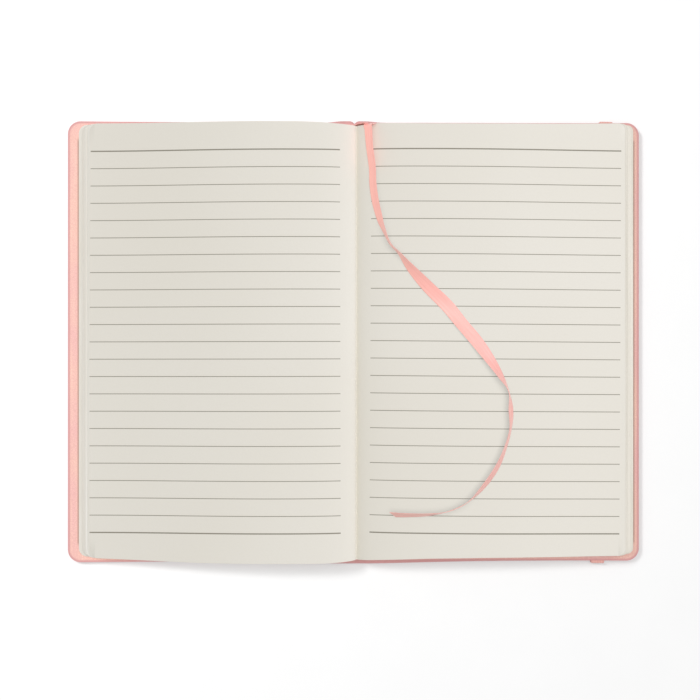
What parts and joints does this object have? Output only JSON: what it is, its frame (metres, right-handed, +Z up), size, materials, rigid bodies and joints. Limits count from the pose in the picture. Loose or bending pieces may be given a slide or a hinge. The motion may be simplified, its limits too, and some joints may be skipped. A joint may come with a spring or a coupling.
{
  "type": "ruled notebook",
  "caption": "Ruled notebook lying open, with a soft leather-look cover, cream lined pages, a ribbon marker and an elastic closing band; each cover folds up on the spine to shut it.",
  "frame": {"origin": "Middle of the spine's underside, on the surface that the open notebook lies on.", "axes": "+X runs across the spread from the front cover to the back cover, +Y to the head of the pages, +Z up from the table."},
  "size_m": [0.2724, 0.2122, 0.0193],
  "materials": {
    "cover_material": "soft matt leather-look coated fabric, salmon pink",
    "board": "grey bookbinding board",
    "lining": "gauze and kraft paper under glue",
    "endpaper": "plain cream paper",
    "pages": "uncoated cream paper with printed grey lines",
    "elastic": "flat woven elastic, salmon pink",
    "ribbon": "satin ribbon, salmon pink"
  },
  "bodies": {
    "spine": {"spine_wrap": "cover_material", "spine_strip": "board", "spine_lining": "lining", "text_block": "pages"},
    "front_cover": {"front_wrap": "cover_material", "front_board": "board", "front_endpaper": "endpaper"},
    "back_cover": {"back_wrap": "cover_material", "back_board": "board", "back_endpaper": "endpaper", "elastic_band": "elastic", "ribbon_marker": "ribbon"}
  },
  "joints": [
    {"name": "front_cover_fold", "type": "hinge", "parent": "spine", "child": "front_cover", "pos_m": [-0.0059, 0, 0.0018], "axis": [0, 1, 0], "range_deg": [0, 90], "deforming": ["text_block", "ribbon_marker"]},
    {"name": "back_cover_fold", "type": "hinge", "parent": "spine", "child": "back_cover", "pos_m": [0.0059, 0, 0.0018], "axis": [0, -1, 0], "range_deg": [0, 89.4], "deforming": ["text_block", "ribbon_marker"]}
  ]
}
